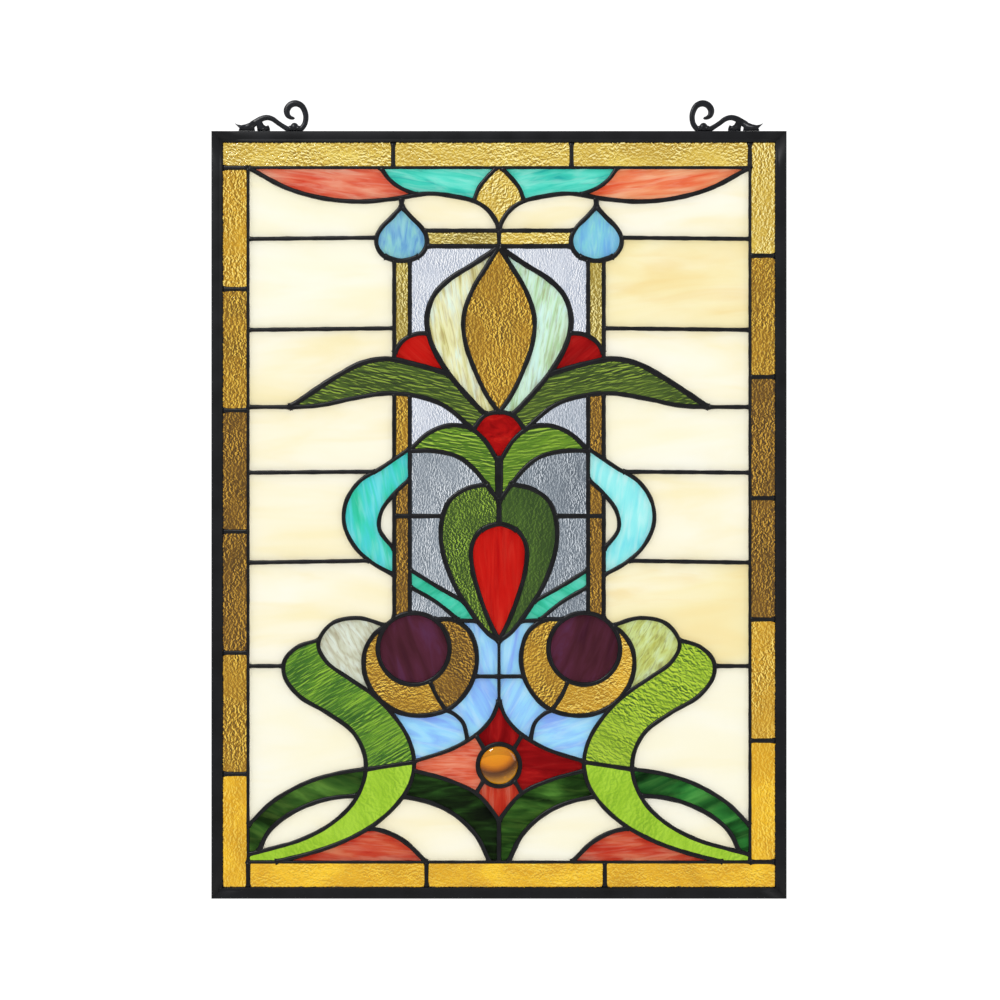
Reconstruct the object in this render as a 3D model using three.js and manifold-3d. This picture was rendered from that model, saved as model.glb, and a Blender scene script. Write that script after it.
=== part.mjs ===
import * as THREE from 'three';
import { mergeVertices } from 'three/addons/utils/BufferGeometryUtils.js';
import Module from 'manifold-3d';

const wasm = await Module();
wasm.setup();

// Stained glass hanging panel in copper foil work: hand-cut glass held by one network of solder,
// in a frame of four channel rails, hung by two cast scrolls. It faces -Y, and sizes are millimetres.

// Frame
const panel_width = 457;
const panel_height = 610;
const frame_depth = 6.4;
const frame_face = 9;
const channel_wall = 1.2;
const mitre_gap = 0.3;

// Glass and solder
const glass_thickness = 3;
const glass_seat = 6.5;
const solder_height = 1.2;
const solder_clearance = 0.3;
const border_width = 20;
const border_pieces_across = 3;
const border_pieces_up = 6;
const jewel_height = 6;
const jewel_girdle = 1.5;
const jewel_clearance = 0.5;

// Widths of the solder lines
const hair_line = 2.6;
const fine_line = 3;
const plain_line = 3.3;
const bold_line = 3.8;
const stem_line = 6.4;

// Hanging scrolls
const scroll_thickness = 4.4;
const scroll_inset = 67.5;
const scroll_seat = 0.3;
const eye_height = 19;

const knob_places = [-1.4, 1.7, 4.9];
const knob_radius = 2.5;
const knob_rise = 2;
const knob_thickness = 5.6;
const knob_sides = 12;

// How far a straight side may stray from the curve it stands for, and how many sides round forms have
const curve_tolerance = 0.8;
const scroll_tolerance = 0.25;
const ring_sides = 24;
const jewel_sides = 16;
const jewel_rings = 4;

// The field inside the border, up to the middle of the line around it
const field_half_width = panel_width / 2 - frame_face - border_width;
const field_bottom = frame_face + border_width;
const field_height = panel_height - 2 * field_bottom;
const glass_half_width = panel_width / 2 - frame_face + glass_seat;
const glass_bottom = frame_face - glass_seat;
const glass_top = panel_height - glass_bottom;
const channel_opening = frame_depth - 2 * channel_wall;

// The cartoon draws the right half of the field, and the left half mirrors it. Its points are
// [across, up] from the foot of the field's middle, in thousandths of its half width and its height.
const thousandth = 0.001;

// Lines between two kinds of glass, which run through the whole thickness
const parting_lines = [
  // Swags and the amber diamond between them
  { width: plain_line, points: [[1000, 1000], [842, 970], [697, 956], [556, 951], [426, 955],
    [281, 962], [180, 959], [95, 951], [45, 939], [13, 923], [0, 910]] },
  { width: fine_line, points: [[471, 1000], [439, 984], [396, 972], [325, 961]] },
  { width: fine_line, points: [[10, 1000], [52, 984], [80, 971], [100, 952]] },
  // Amber bars under the diamond
  { width: fine_line, points: [[0, 909], [301, 909]] },
  { width: plain_line, points: [[0, 887], [289, 887]] },
  // Tulip
  { width: bold_line, points: [[0, 886], [100, 861], [201, 838], [261, 815], [287, 784],
    [273, 751], [226, 716], [155, 683], [60, 647], [49, 644]] },
  { width: plain_line, points: [[0, 886], [53, 856], [105, 824], [140, 786], [135, 750],
    [98, 709], [50, 673], [0, 647]] },
  { width: plain_line, points: [[281, 762], [336, 760], [386, 750], [418, 733]] },
  { width: plain_line, points: [[0, 649], [58, 643], [102, 626]] },
  // Long leaves
  { width: bold_line, points: [[834, 655], [637, 702], [541, 719], [451, 725], [351, 718],
    [200, 703]] },
  { width: plain_line, points: [[834, 655], [717, 658], [586, 667], [451, 675], [331, 671],
    [221, 658], [100, 626]] },
  // Short leaves under the tulip
  { width: plain_line, points: [[355, 593], [281, 618], [201, 629], [120, 626], [60, 609],
    [18, 585], [0, 574]] },
  { width: plain_line, points: [[355, 592], [251, 592], [160, 583], [100, 566], [50, 544]] },
  { width: plain_line, points: [[50, 544], [135, 537], [201, 519], [231, 486], [226, 449],
    [183, 403], [118, 363], [45, 330], [0, 319]] },
  // Upright amber bars
  { width: fine_line, points: [[355, 868], [355, 757]] },
  { width: fine_line, points: [[418, 868], [418, 724]] },
  { width: fine_line, points: [[418, 675], [418, 580]] },
  { width: fine_line, points: [[355, 595], [355, 359]] },
  { width: fine_line, points: [[418, 453], [418, 351]] },
  // Ribbons
  { width: fine_line, points: [[355, 595], [471, 567], [556, 548], [609, 519], [617, 486],
    [574, 454], [506, 431], [418, 413]] },
  { width: fine_line, points: [[355, 552], [421, 529], [469, 505], [476, 479], [418, 450]] },
  { width: fine_line, points: [[182, 348], [86, 347]] },
  // Crescents round the discs
  { width: plain_line, points: [[258, 349], [180, 348], [115, 331], [88, 293], [113, 255],
    [185, 224], [286, 211], [391, 215], [484, 236], [534, 269], [534, 304], [496, 328],
    [452, 341]] },
  // Opal petals, running on as the inner side of the stems
  { width: fine_line, points: [[451, 341], [561, 351], [667, 343], [720, 314], [687, 288],
    [602, 265], [501, 241], [421, 211], [361, 178], [338, 144], [356, 111], [411, 82],
    [501, 53], [622, 29], [752, 13], [892, 0]] },
  // Outer side of the stems
  { width: fine_line, points: [[717, 320], [802, 310], [855, 290], [855, 267], [797, 239],
    [682, 214], [581, 187], [535, 152], [536, 120], [581, 85], [672, 54], [792, 32],
    [902, 20], [1000, 11]] },
  // Arcs at the foot
  { width: fine_line, points: [[1000, 53], [902, 87], [772, 114], [652, 127], [531, 134]] },
  { width: plain_line, points: [[957, 15], [920, 43], [850, 66], [742, 85], [652, 93],
    [565, 95]] },
  { width: plain_line, points: [[516, 49], [451, 43], [376, 30], [290, 0]] },
  { width: plain_line, points: [[383, 95], [271, 85], [175, 68], [90, 38], [38, 0]] },
  // Star round the jewel
  { width: fine_line, points: [[0, 233], [28, 208], [80, 187], [183, 164], [338, 145]] },
  { width: fine_line, points: [[341, 132], [216, 120], [95, 100], [38, 79], [0, 60]] },
];

// Lines within one kind of glass, which lie on its two faces
const surface_lines = [
  // Background
  { width: fine_line, points: [[1000, 897], [486, 899]] },
  { width: fine_line, points: [[1000, 766], [418, 769]] },
  { width: fine_line, points: [[1000, 655], [834, 655]] },
  { width: fine_line, points: [[1000, 561], [494, 562]] },
  { width: fine_line, points: [[1000, 431], [518, 434]] },
  { width: fine_line, points: [[1000, 282], [861, 282]] },
  { width: bold_line, points: [[388, 957], [388, 943]] },
  // Bars
  { width: fine_line, points: [[0, 910], [0, 884]] },
  { width: fine_line, points: [[355, 673], [355, 595]] },
  { width: fine_line, points: [[418, 530], [418, 451]] },
  { width: plain_line, points: [[418, 498], [224, 498]] },
  // Stem of the tulip and the parting of its leaves
  { width: stem_line, points: [[0, 585], [0, 522]] },
  { width: bold_line, points: [[0, 525], [0, 486]] },
  { width: plain_line, points: [[50, 544], [25, 532], [0, 519]] },
  // Tails of the ribbons
  { width: fine_line, points: [[355, 421], [251, 398], [139, 375]] },
  { width: fine_line, points: [[355, 396], [251, 374], [161, 348]] },
  // Crescents, sky and stems
  { width: fine_line, points: [[276, 261], [251, 240], [213, 219]] },
  { width: fine_line, points: [[213, 219], [178, 213], [143, 200], [125, 175]] },
  { width: hair_line, points: [[0, 319], [0, 232]] },
  { width: fine_line, points: [[0, 267], [99, 267]] },
  { width: fine_line, points: [[338, 144], [531, 133]] },
  // Star and arcs
  { width: fine_line, points: [[93, 183], [58, 162]] },
  { width: fine_line, points: [[91, 99], [60, 118]] },
  { width: plain_line, points: [[0, 62], [0, 0]] },
];

// Half outlines of the blue drop and the red drop, from the tip round to the middle of the round end
const blue_drop = [[0, 944], [40, 928], [78, 914], [99, 901], [98, 887], [68, 872],
  [0, 866]];
const drop_middle = 388;
const red_drop = [[0, 319], [40, 348], [78, 384], [107, 424], [108, 457], [70, 478], [0, 487]];

// The rings round the discs and the jewel: the middle of each, and its reach across and up
const disc_ring = { middle: [340, 307], reach: [143, 51.6] };
const jewel_ring = { middle: [0, 139], reach: [84, 30.4] };

function span([across, up]) {
  return new THREE.Vector2(field_half_width * across, field_height * up).multiplyScalar(thousandth);
}

function at(place) {
  return span(place).add(new THREE.Vector2(0, field_bottom));
}

// The end of a stretch of a curve, after as many points between as the tolerance asks for
function flatten(curve, tolerance, from = 0, to = 1) {
  const chord = new THREE.Line3(curve.getPoint(from), curve.getPoint(to));
  const nearest = new THREE.Vector3();
  const strays = [0.25, 0.5, 0.75].some((share) => {
    const point = curve.getPoint(THREE.MathUtils.lerp(from, to, share));
    return chord.closestPointToPoint(point, true, nearest).distanceTo(point) > tolerance;
  });
  if (!strays) {
    return [chord.end];
  }
  const middle = (from + to) / 2;
  return [...flatten(curve, tolerance, from, middle), ...flatten(curve, tolerance, middle, to)];
}

// The outline of a band along a smooth curve through points whose third value is the band's width
function band(points, tolerance) {
  const curve = new THREE.CatmullRomCurve3(points);
  const run = [curve.getPoint(0), ...flatten(curve, tolerance)];
  const edges = run.map((here, i) => {
    const back = run[Math.max(i - 1, 0)];
    const ahead = run[Math.min(i + 1, run.length - 1)];
    const into = new THREE.Vector2(here.x - back.x, here.y - back.y).normalize();
    const out = new THREE.Vector2(ahead.x - here.x, ahead.y - here.y).normalize();
    const along = into.clone().add(out).normalize();
    const reach = here.z / 2 / along.dot(i > 0 ? into : out);
    return [reach, -reach].map((far) => new THREE.Vector2(here.x - along.y * far, here.y + along.x * far));
  });
  return new THREE.Shape([...edges.map(([left]) => left), ...edges.map(([, right]) => right).reverse()]);
}

function line_outline(line, spread) {
  const points = line.points.map(at).map(({ x, y }) => new THREE.Vector3(x, y, line.width + 2 * spread));
  return band(points, curve_tolerance);
}

// The line of a ring, way being -1 for the ring that mirrors it
function ring_outline(ring, spread, way = 1) {
  const center = at(ring.middle);
  const reach = span(ring.reach);
  const oval = (far) => Array.from({ length: ring_sides }, (_, i) => {
    const turn = 2 * Math.PI * i / ring_sides;
    const across = way * center.x + (reach.x + far) * Math.cos(turn);
    return new THREE.Vector2(across, center.y + (reach.y + far) * Math.sin(turn));
  });
  const half = plain_line / 2 + spread;
  const shape = new THREE.Shape(oval(half));
  shape.holes.push(new THREE.Path(oval(-half)));
  return shape;
}

function rectangle(left, bottom, right, top) {
  return [[left, bottom], [right, bottom], [right, top], [left, top]].map((p) => new THREE.Vector2(...p));
}

function polygon(points) {
  return new THREE.Shape(points.map((p) => new THREE.Vector2(...p)));
}

// The line around the field
function field_outline(spread) {
  const half = hair_line / 2 + spread;
  const top = field_bottom + field_height;
  const side = field_half_width;
  const shape = new THREE.Shape(rectangle(-side - half, field_bottom - half, side + half, top + half));
  const hole = rectangle(-side + half, field_bottom + half, side - half, top - half);
  shape.holes.push(new THREE.Path(hole));
  return shape;
}

// A solid between two depths, with an outline in the panel's plane
function plate(shape, front, back) {
  const geometry = new THREE.ExtrudeGeometry(shape, { depth: back - front, bevelEnabled: false });
  geometry.rotateX(Math.PI / 2);
  geometry.translate(0, back, 0);
  return geometry;
}

function solid(geometry) {
  geometry.deleteAttribute('normal');
  geometry.deleteAttribute('uv');
  const merged = mergeVertices(geometry, 1e-4);
  const mesh = new wasm.Mesh({
    numProp: 3,
    vertProperties: new Float32Array(merged.attributes.position.array),
    triVerts: new Uint32Array(merged.index.array),
  });
  return new wasm.Manifold(mesh);
}

function geometry_of(body) {
  const mesh = body.getMesh();
  const geometry = new THREE.BufferGeometry();
  geometry.setAttribute('position', new THREE.BufferAttribute(mesh.vertProperties, 3));
  geometry.setIndex(new THREE.BufferAttribute(mesh.triVerts, 1));
  geometry.computeVertexNormals();
  return geometry;
}

function join(bodies) {
  return bodies.reduce((whole, body) => whole.add(body));
}

function mirrored(body) {
  const geometry = geometry_of(body);
  geometry.scale(-1, 1, 1);
  const index = geometry.index;
  for (let corner = 0; corner < index.count; corner += 3) {
    const first = index.getX(corner);
    index.setX(corner, index.getX(corner + 1));
    index.setX(corner + 1, first);
  }
  return solid(geometry);
}

// Frame

// A rail lies along the bottom, mitred at both ends, with its groove open upwards
function mitred_rail(length) {
  const end = length / 2 - mitre_gap / 2 * Math.SQRT2;
  const lip = end - frame_face;
  const outline = polygon([[-end, 0], [end, 0], [lip, frame_face], [-lip, frame_face]]);
  const groove = polygon([[-end, channel_wall], [end, channel_wall], [end, length], [-end, length]]);
  const body = solid(plate(outline, -frame_depth / 2, frame_depth / 2));
  const cut = solid(plate(groove, -channel_opening / 2, channel_opening / 2));
  return geometry_of(body.subtract(cut));
}

// Hanging scrolls

// A tapering band along points of [outwards, up, width], from the eye's middle and the top of the frame
function tapering(points) {
  return band(points.map((p) => new THREE.Vector3(...p)), scroll_tolerance);
}

function scroll() {
  const curl = tapering([[-1, -1, 3.6], [-3.6, 2, 4], [-6.5, 6, 4], [-7.4, 11, 4.1], [-6.7, 15.5, 4.3],
    [-4, 19.8, 4.5], [0.5, 21.6, 4.8], [5, 20.3, 4.9], [7.6, 16.5, 4.9], [7, 12.8, 4], [4.3, 10.8, 2.5],
    [1.3, 10.4, 0.8]]);
  const arch = tapering([[4, -1, 4], [7, 1.5, 4], [11, 4.2, 3.6], [15, 6.9, 3.6], [19, 9.8, 3.8],
    [23.5, 11, 4], [28, 9.9, 4.4], [32, 7.4, 5], [36.5, 4.8, 5]]);
  const tail = polygon([[31.5, 5.2], [34.8, 2.4], [34.8, -1], [45.5, -1], [46.3, 0.8], [45.5, 2.4],
    [47, 4], [49.2, 6.3], [46.5, 5.5], [44, 5.1], [40.5, 5.8], [37.5, 7], [34, 8.4]]);
  const bud = polygon([[22.3, -1], [22, 2], [22.6, 3.8], [24.2, 3.1], [26.2, 4.4], [28.4, 8.5],
    [31.5, 6.5], [30, 4], [29.6, 2], [30, -1]]);
  const half = scroll_thickness / 2;
  const bands = [curl, arch, tail, bud].map((shape) => solid(plate(shape, -half, half)));
  const knobs = knob_places.map((outwards) => {
    const knob = new THREE.CylinderGeometry(knob_radius, knob_radius, knob_thickness, knob_sides);
    knob.translate(outwards, 0, knob_rise);
    return solid(knob);
  });
  const whole = join([...bands, ...knobs]);
  const above = new THREE.BoxGeometry(panel_width, panel_width, panel_width);
  above.translate(0, 0, scroll_seat + panel_width / 2);
  return whole.intersect(solid(above));
}

// Solder network and glass

const mirror_x = ([across, up]) => [-across, up];
const plates = (outlines, front, back) => outlines.map((outline) => solid(plate(outline, front, back)));

function both_sides(line) {
  const lies_in_middle = line.points.every(([across]) => across === 0);
  return lies_in_middle ? [line] : [line, { ...line, points: line.points.map(mirror_x) }];
}

// The two halves of a drop's outline, about an upright through its middle. Each runs a little past
// the middle of the round end.
function drop_lines(half, middle) {
  const past = mirror_x(half[half.length - 2]);
  return [1, -1].map((way) => {
    const points = [...half, past].map(([across, up]) => [middle + way * across, up]);
    return { width: plain_line, points };
  });
}

const drops = [...drop_lines(blue_drop, drop_middle), ...drop_lines(blue_drop, -drop_middle),
  ...drop_lines(red_drop, 0)];

function parting_outlines(spread) {
  const lines = [...parting_lines.flatMap(both_sides), ...drops].map((line) => line_outline(line, spread));
  const rings = [
    ring_outline(disc_ring, spread),
    ring_outline(disc_ring, spread, -1),
    ring_outline(jewel_ring, spread),
  ];
  return [field_outline(spread), ...lines, ...rings];
}

// The border's strips lap one another round the corners, and each is cut into equal pieces
function border_seams() {
  const side = field_half_width;
  const foot = field_bottom;
  const head = field_bottom + field_height;
  const sight_side = panel_width / 2 - frame_face - solder_clearance;
  const sight_foot = frame_face + solder_clearance;
  const sight_head = panel_height - sight_foot;
  const seams = [];
  const across = (glass_half_width + side) / border_pieces_across;
  for (let piece = 1; piece <= border_pieces_across; piece += 1) {
    const step = piece * across - glass_half_width;
    seams.push([[step, head], [step, sight_head]]);
    seams.push([[-step, foot], [-step, sight_foot]]);
  }
  const up = (glass_top - foot) / border_pieces_up;
  for (let piece = 1; piece <= border_pieces_up; piece += 1) {
    const step = piece * up;
    seams.push([[side, glass_top - step], [sight_side, glass_top - step]]);
    seams.push([[-side, glass_bottom + step], [-sight_side, glass_bottom + step]]);
  }
  const wide = seams.map((seam) => seam.map(([x, z]) => new THREE.Vector3(x, z, fine_line)));
  return wide.map((seam) => band(seam, curve_tolerance));
}

function solder_network() {
  const face = glass_thickness / 2 + solder_clearance;
  const crown = glass_thickness / 2 + solder_height;
  const seams = surface_lines.flatMap(both_sides).map((line) => line_outline(line, 0));
  const beads = [...seams, ...border_seams()];
  return join([
    ...plates(parting_outlines(0), -crown, crown),
    ...plates(beads, -crown, -face),
    ...plates(beads, face, crown),
  ]);
}

// The sheet of glass, cut along every parting line
function cut_glass() {
  const sheet = rectangle(-glass_half_width, glass_bottom, glass_half_width, glass_top);
  const half = glass_thickness / 2;
  const whole = solid(plate(new THREE.Shape(sheet), -half, half));
  const cuts = plates(parting_outlines(solder_clearance), -glass_thickness, glass_thickness);
  return whole.subtract(join(cuts)).decompose().map(geometry_of);
}

// Whether a piece of glass lies behind a point of the cartoon
function lies_at(geometry, place) {
  const { x, y: z } = at(place);
  const position = geometry.attributes.position;
  const index = geometry.index;
  for (let corner = 0; corner < index.count; corner += 3) {
    const [a, b, c] = [0, 1, 2].map((i) => {
      const vertex = index.getX(corner + i);
      return new THREE.Vector2(position.getX(vertex) - x, position.getZ(vertex) - z);
    });
    if (a.cross(b) > 0 && b.cross(c) > 0 && c.cross(a) > 0) {
      return true;
    }
  }
  return false;
}

// The domed jewel in the middle of the star, flat behind, which fills its ring but for the clearance
function jewel() {
  const reach = span(jewel_ring.reach).subScalar(plain_line / 2 + jewel_clearance);
  const back = -glass_thickness / 2;
  const edge = back + jewel_girdle;
  const rise = jewel_height - jewel_girdle;
  const dome = Array.from({ length: jewel_rings }, (_, ring) => {
    const turn = Math.PI / 2 * ring / jewel_rings;
    return new THREE.Vector2(Math.cos(turn), edge + rise * Math.sin(turn));
  });
  const [foot, rim, top] = [[0, back], [1, back], [0, edge + rise]].map((p) => new THREE.Vector2(...p));
  const geometry = new THREE.LatheGeometry([foot, rim, ...dome, top], jewel_sides);
  geometry.scale(reach.x, 1, reach.y);
  geometry.rotateX(Math.PI);
  return geometry_of(solid(geometry));
}

// Each kind of glass: its colour, and a place in the cartoon inside each of its pieces.
// A pair has a mirrored piece on the other side.
const pairs = {
  cream_background: [0xf3ebcb, [752, 815]],
  white_lens: [0xf8f4e4, [752, 63]],
  white_foot: [0xf6efd6, [226, 27]],
  coral_swag: [0xe8805c, [652, 978]],
  coral_foot: [0xc8402c, [501, 18]],
  teal_swag: [0x3fd6c0, [251, 982]],
  blue_drop: [0x6fb4d8, [388, 897]],
  amber_bar_upper: [0xbf9a40, [386, 815]],
  amber_bar_lower: [0xb07a24, [386, 435]],
  clear_glass_upper: [0xcdd2de, [316, 824]],
  clear_glass_middle: [0xc3c9d6, [301, 634]],
  clear_glass_lower: [0xa4a7b2, [301, 543]],
  tulip_petal: [0xdce8c0, [211, 779]],
  red_petal: [0xc01818, [326, 743]],
  long_leaf: [0x4c6b1f, [501, 697]],
  ribbon: [0x45d2d4, [551, 489]],
  opal_petal: [0xd5dcc5, [627, 317]],
  amethyst_disc: [0x4a2530, [301, 299]],
  gold_crescent: [0xc89a35, [140, 290]],
  stem: [0x84ae20, [602, 226]],
  dark_arc: [0x1f4a25, [752, 100]],
};
const singles = {
  amber_border: [0xc9a03a, [1053, 543]],
  amber_diamond: [0xdcc061, [0, 960]],
  amber_bars_top: [0xd2b450, [150, 899]],
  tulip_heart: [0xc08a1e, [0, 779]],
  red_diamond: [0xa81515, [0, 625]],
  short_leaves: [0x4f8a1e, [175, 453]],
  red_drop: [0xc41a10, [0, 435]],
  sky: [0x7fbdf2, [50, 290]],
  star: [0xc8302a, [201, 139]],
  dark_arcs_inner: [0x1c3a1c, [201, 94]],
};

// Scene

const panel = new THREE.Group();
panel.position.z = -(panel_height + eye_height);

function add(name, geometry, color, roughness, metalness) {
  const mesh = new THREE.Mesh(geometry, new THREE.MeshStandardMaterial({ color, roughness, metalness }));
  mesh.name = name;
  panel.add(mesh);
  return mesh;
}

function add_frame() {
  const across = mitred_rail(panel_width);
  const up = mitred_rail(panel_height);
  const sides = [
    ['frame_rail_bottom', across, 0, 0, 0],
    ['frame_rail_right', up, -Math.PI / 2, panel_width / 2, panel_height / 2],
    ['frame_rail_top', across, Math.PI, 0, panel_height],
    ['frame_rail_left', up, Math.PI / 2, -panel_width / 2, panel_height / 2],
  ];
  for (const [name, geometry, turn, x, z] of sides) {
    const mesh = add(name, geometry, 0x23242a, 0.45, 0.7);
    mesh.rotation.y = turn;
    mesh.position.set(x, 0, z);
  }
}

function add_scrolls() {
  const right = scroll();
  for (const [side, body, way] of [['left', mirrored(right), -1], ['right', right, 1]]) {
    const mesh = add(`hanging_scroll_${side}`, geometry_of(body), 0x26272d, 0.5, 0.7);
    mesh.position.set(way * (panel_width / 2 - scroll_inset), 0, panel_height);
  }
}

function add_glass() {
  const pieces = cut_glass();
  const find = (place) => pieces.find((piece) => lies_at(piece, place));
  for (const [name, [color, place]] of Object.entries(singles)) {
    add(`${name}_glass`, find(place), color, 0.15, 0);
  }
  for (const [name, [color, place]] of Object.entries(pairs)) {
    add(`${name}_left`, find(mirror_x(place)), color, 0.15, 0);
    add(`${name}_right`, find(place), color, 0.15, 0);
  }
  const middle = at(jewel_ring.middle);
  add('amber_jewel', jewel(), 0xd8900c, 0.08, 0).position.set(middle.x, 0, middle.y);
}

add_frame();
add_scrolls();
add('solder_network', geometry_of(solder_network()), 0x1d1c1f, 0.4, 0.7);
add_glass();

export default panel;
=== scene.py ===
import bpy
import numpy as np
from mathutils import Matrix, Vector
from mathutils.geometry import delaunay_2d_cdt


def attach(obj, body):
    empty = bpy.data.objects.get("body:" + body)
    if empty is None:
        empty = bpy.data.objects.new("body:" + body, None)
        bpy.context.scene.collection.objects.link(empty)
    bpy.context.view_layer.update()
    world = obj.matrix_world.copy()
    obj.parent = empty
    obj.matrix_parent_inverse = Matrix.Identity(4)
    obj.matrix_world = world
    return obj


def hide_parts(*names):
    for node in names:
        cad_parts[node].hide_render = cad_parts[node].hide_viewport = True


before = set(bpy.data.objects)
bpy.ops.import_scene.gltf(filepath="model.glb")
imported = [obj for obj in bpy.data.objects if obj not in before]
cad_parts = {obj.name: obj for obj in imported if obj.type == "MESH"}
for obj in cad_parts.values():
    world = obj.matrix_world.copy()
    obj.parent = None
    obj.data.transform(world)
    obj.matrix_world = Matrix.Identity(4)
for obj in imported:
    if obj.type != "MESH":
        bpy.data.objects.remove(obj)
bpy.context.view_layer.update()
scene = bpy.context.scene

# Camera
# A long lens square to the panel and a little over its middle, as in the photograph. The panel's foot
# is 629 mm under the origin, and 795 mm of the panel's plane fill the picture's side.
foot, panel_middle = -0.629, 0.305
lens, sensor, seen = 85, 36, 0.7955
aside, above = 0.0008, 0.0118
camera_data = bpy.data.cameras.new("camera")
camera_data.lens = lens
camera_data.sensor_width = sensor
camera = bpy.data.objects.new("camera", camera_data)
scene.collection.objects.link(camera)
camera.location = (aside, -seen / sensor * lens, foot + panel_middle + above)
camera.rotation_euler = (np.pi / 2, 0, 0)
scene.camera = camera

# Full-size drawing
# The cartoon that the glass is cut over: it lies under the sheets on the bench. It shows the right
# half of the field, in millimetres [across, up] from the foot of its middle; the left mirrors it.
# Each line is where two panes meet, and begins with the width of its solder.
thin, fine, plain, bold, stem = 2.6, 3.4, 3.8, 4.4, 6.6
inner, outer, drop_middle = 70.9, 83.3, 77.4
drawing = [
    # Swags, the diamond between them and the bars under it
    [plain, (199.5, 552), (168, 535.5), (139, 527.5), (111, 525), (85, 527), (56, 531.3), (36, 529.2),
     (19, 525), (9, 518.5), (2.5, 509.5), (0, 502.5)],
    [fine, (94, 552), (87.5, 543), (79, 536.3), (64.9, 530.4)],
    [fine, (2, 552), (10.3, 543.3), (16, 536), (20, 525.5)],
    [fine, (0, 502), (60, 502)],
    [plain, (0, 489.5), (57.7, 489.7)],
    [fine, (0, 502.5), (0, 488)],
    [bold, (drop_middle, 528.5), (drop_middle, 519)],
    # Tulip
    [bold, (0, 489), (20, 475.5), (40, 462.8), (52, 450), (57.3, 432.5), (54.5, 414.5), (45, 395.5),
     (31, 377), (12, 357), (9.7, 355.7)],
    [plain, (0, 489), (10.5, 472.5), (21, 455), (28, 434), (27, 414), (19.5, 391.5), (10, 371.5), (0, 357)],
    [plain, (56, 420.5), (67, 419.5), (77, 414), (83.3, 404.5)],
    [plain, (0, 358.3), (11.5, 354.8), (20.6, 343.9)],
    # Long leaves
    [bold, (166.3, 361.7), (127, 387.5), (108, 397), (90, 400), (70, 396.5), (39.9, 388.1)],
    [plain, (166.3, 361.5), (143, 363), (117, 368.3), (90, 372.5), (66, 370.5), (44, 363), (20.8, 344.1)],
    # Short leaves, the stalk between them and the lower leaves
    [plain, (70.9, 327.5), (56, 341), (40, 347), (24, 345.3), (12, 336), (3.5, 323), (0, 317)],
    [plain, (70.9, 327), (50, 326.6), (32, 321.8), (20, 312.5), (10, 300.5)],
    [plain, (10, 300.5), (27, 296.3), (40, 286.3), (46, 268), (45, 248), (36.5, 222.5), (23.5, 200.5),
     (9, 182), (0, 176)],
    [stem, (0, 323), (0, 288)],
    [bold, (0, 290), (0, 268.5)],
    [plain, (10, 300.5), (5, 293.5), (0, 286.5)],
    # Upright bars
    [fine, (inner, 479.3), (inner, 418)],
    [fine, (outer, 479.2), (outer, 399.5)],
    [fine, (outer, 372.5), (outer, 320)],
    [fine, (inner, 371.5), (inner, 198)],
    [fine, (outer, 292.7), (outer, 193.7)],
    [plain, (outer, 275), (44.7, 275)],
    # Ribbons and their tails
    [fine, (70.9, 328.7), (94, 313), (111, 302.5), (121.5, 286.5), (123, 268.5), (114.5, 250.5), (101, 238),
     (83.3, 228)],
    [fine, (70.9, 304.5), (84, 292), (93.5, 278.5), (95, 264.5), (83.3, 248.5)],
    [fine, (70.9, 232.5), (50, 219.5), (27.7, 206.9)],
    [fine, (70.9, 218.8), (50, 206.7), (32.2, 192.3)],
    [fine, (36.3, 192.3), (17.1, 191.4)],
    # Crescents and the sky between them
    [plain, (51.4, 192.8), (36, 192.2), (23, 182.5), (17.5, 162), (22.5, 141), (37, 123.5), (57, 116.7),
     (78, 118.5), (96.5, 130.5), (106.5, 148.5), (106.5, 168), (99, 181), (90.2, 188)],
    [fine, (55.1, 144), (50, 132.5), (42.5, 121)],
    [fine, (42.5, 121), (35.5, 117.5), (28.5, 110.5), (24.9, 96.7)],
    [thin, (0, 176), (0, 128)],
    [fine, (0, 147.5), (19.8, 147.6)],
    # Opal petals and stems
    [fine, (90, 188), (112, 194), (133, 189.5), (143.7, 173.5), (137, 159), (120, 146.5), (100, 132.8),
     (84, 116.7), (72, 98), (67.5, 79.5), (71, 61.5), (82, 45), (100, 29.2), (124, 16.2), (150, 7), (178, 0)],
    [fine, (143, 176.6), (160, 171), (170.5, 160), (170.5, 147.5), (159, 132), (136, 118.1), (116, 103),
     (106.7, 84), (107, 66.5), (116, 47), (134, 30), (158, 17.5), (180, 11), (199.5, 6)],
    [fine, (67.5, 79.4), (106, 73.5)],
    # Arcs at the foot
    [fine, (199.5, 29), (180, 48), (154, 62.7), (130, 70.2), (105.9, 74.1)],
    [plain, (191, 8.5), (183.5, 23.5), (169.5, 36.2), (148, 46.8), (130, 51.3), (112.7, 52.7)],
    [plain, (103, 27), (90, 24), (75, 16.3), (57.8, 0)],
    [plain, (76.5, 52.3), (54, 47), (35, 37.5), (18, 21), (7.5, 0)],
    [plain, (0, 34), (0, 0)],
    # Star round the jewel
    [fine, (0, 128.5), (5.5, 115), (16, 103), (36.5, 90.4), (67.5, 80)],
    [fine, (68, 72.8), (43, 66), (19, 55.3), (7.5, 43.5), (0, 33)],
    [fine, (18.5, 101), (11.5, 89.5)],
    [fine, (18.2, 54.7), (12, 65)],
    # Background
    [fine, (199.5, 495.3), (97, 496.3)],
    [fine, (199.5, 423), (outer, 424.3)],
    [fine, (199.5, 361.7), (166.3, 361.7)],
    [fine, (199.5, 309.5), (98.5, 310.3)],
    [fine, (199.5, 238), (103.3, 239.5)],
    [fine, (199.5, 155.8), (171.7, 155.8)],
]
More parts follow.
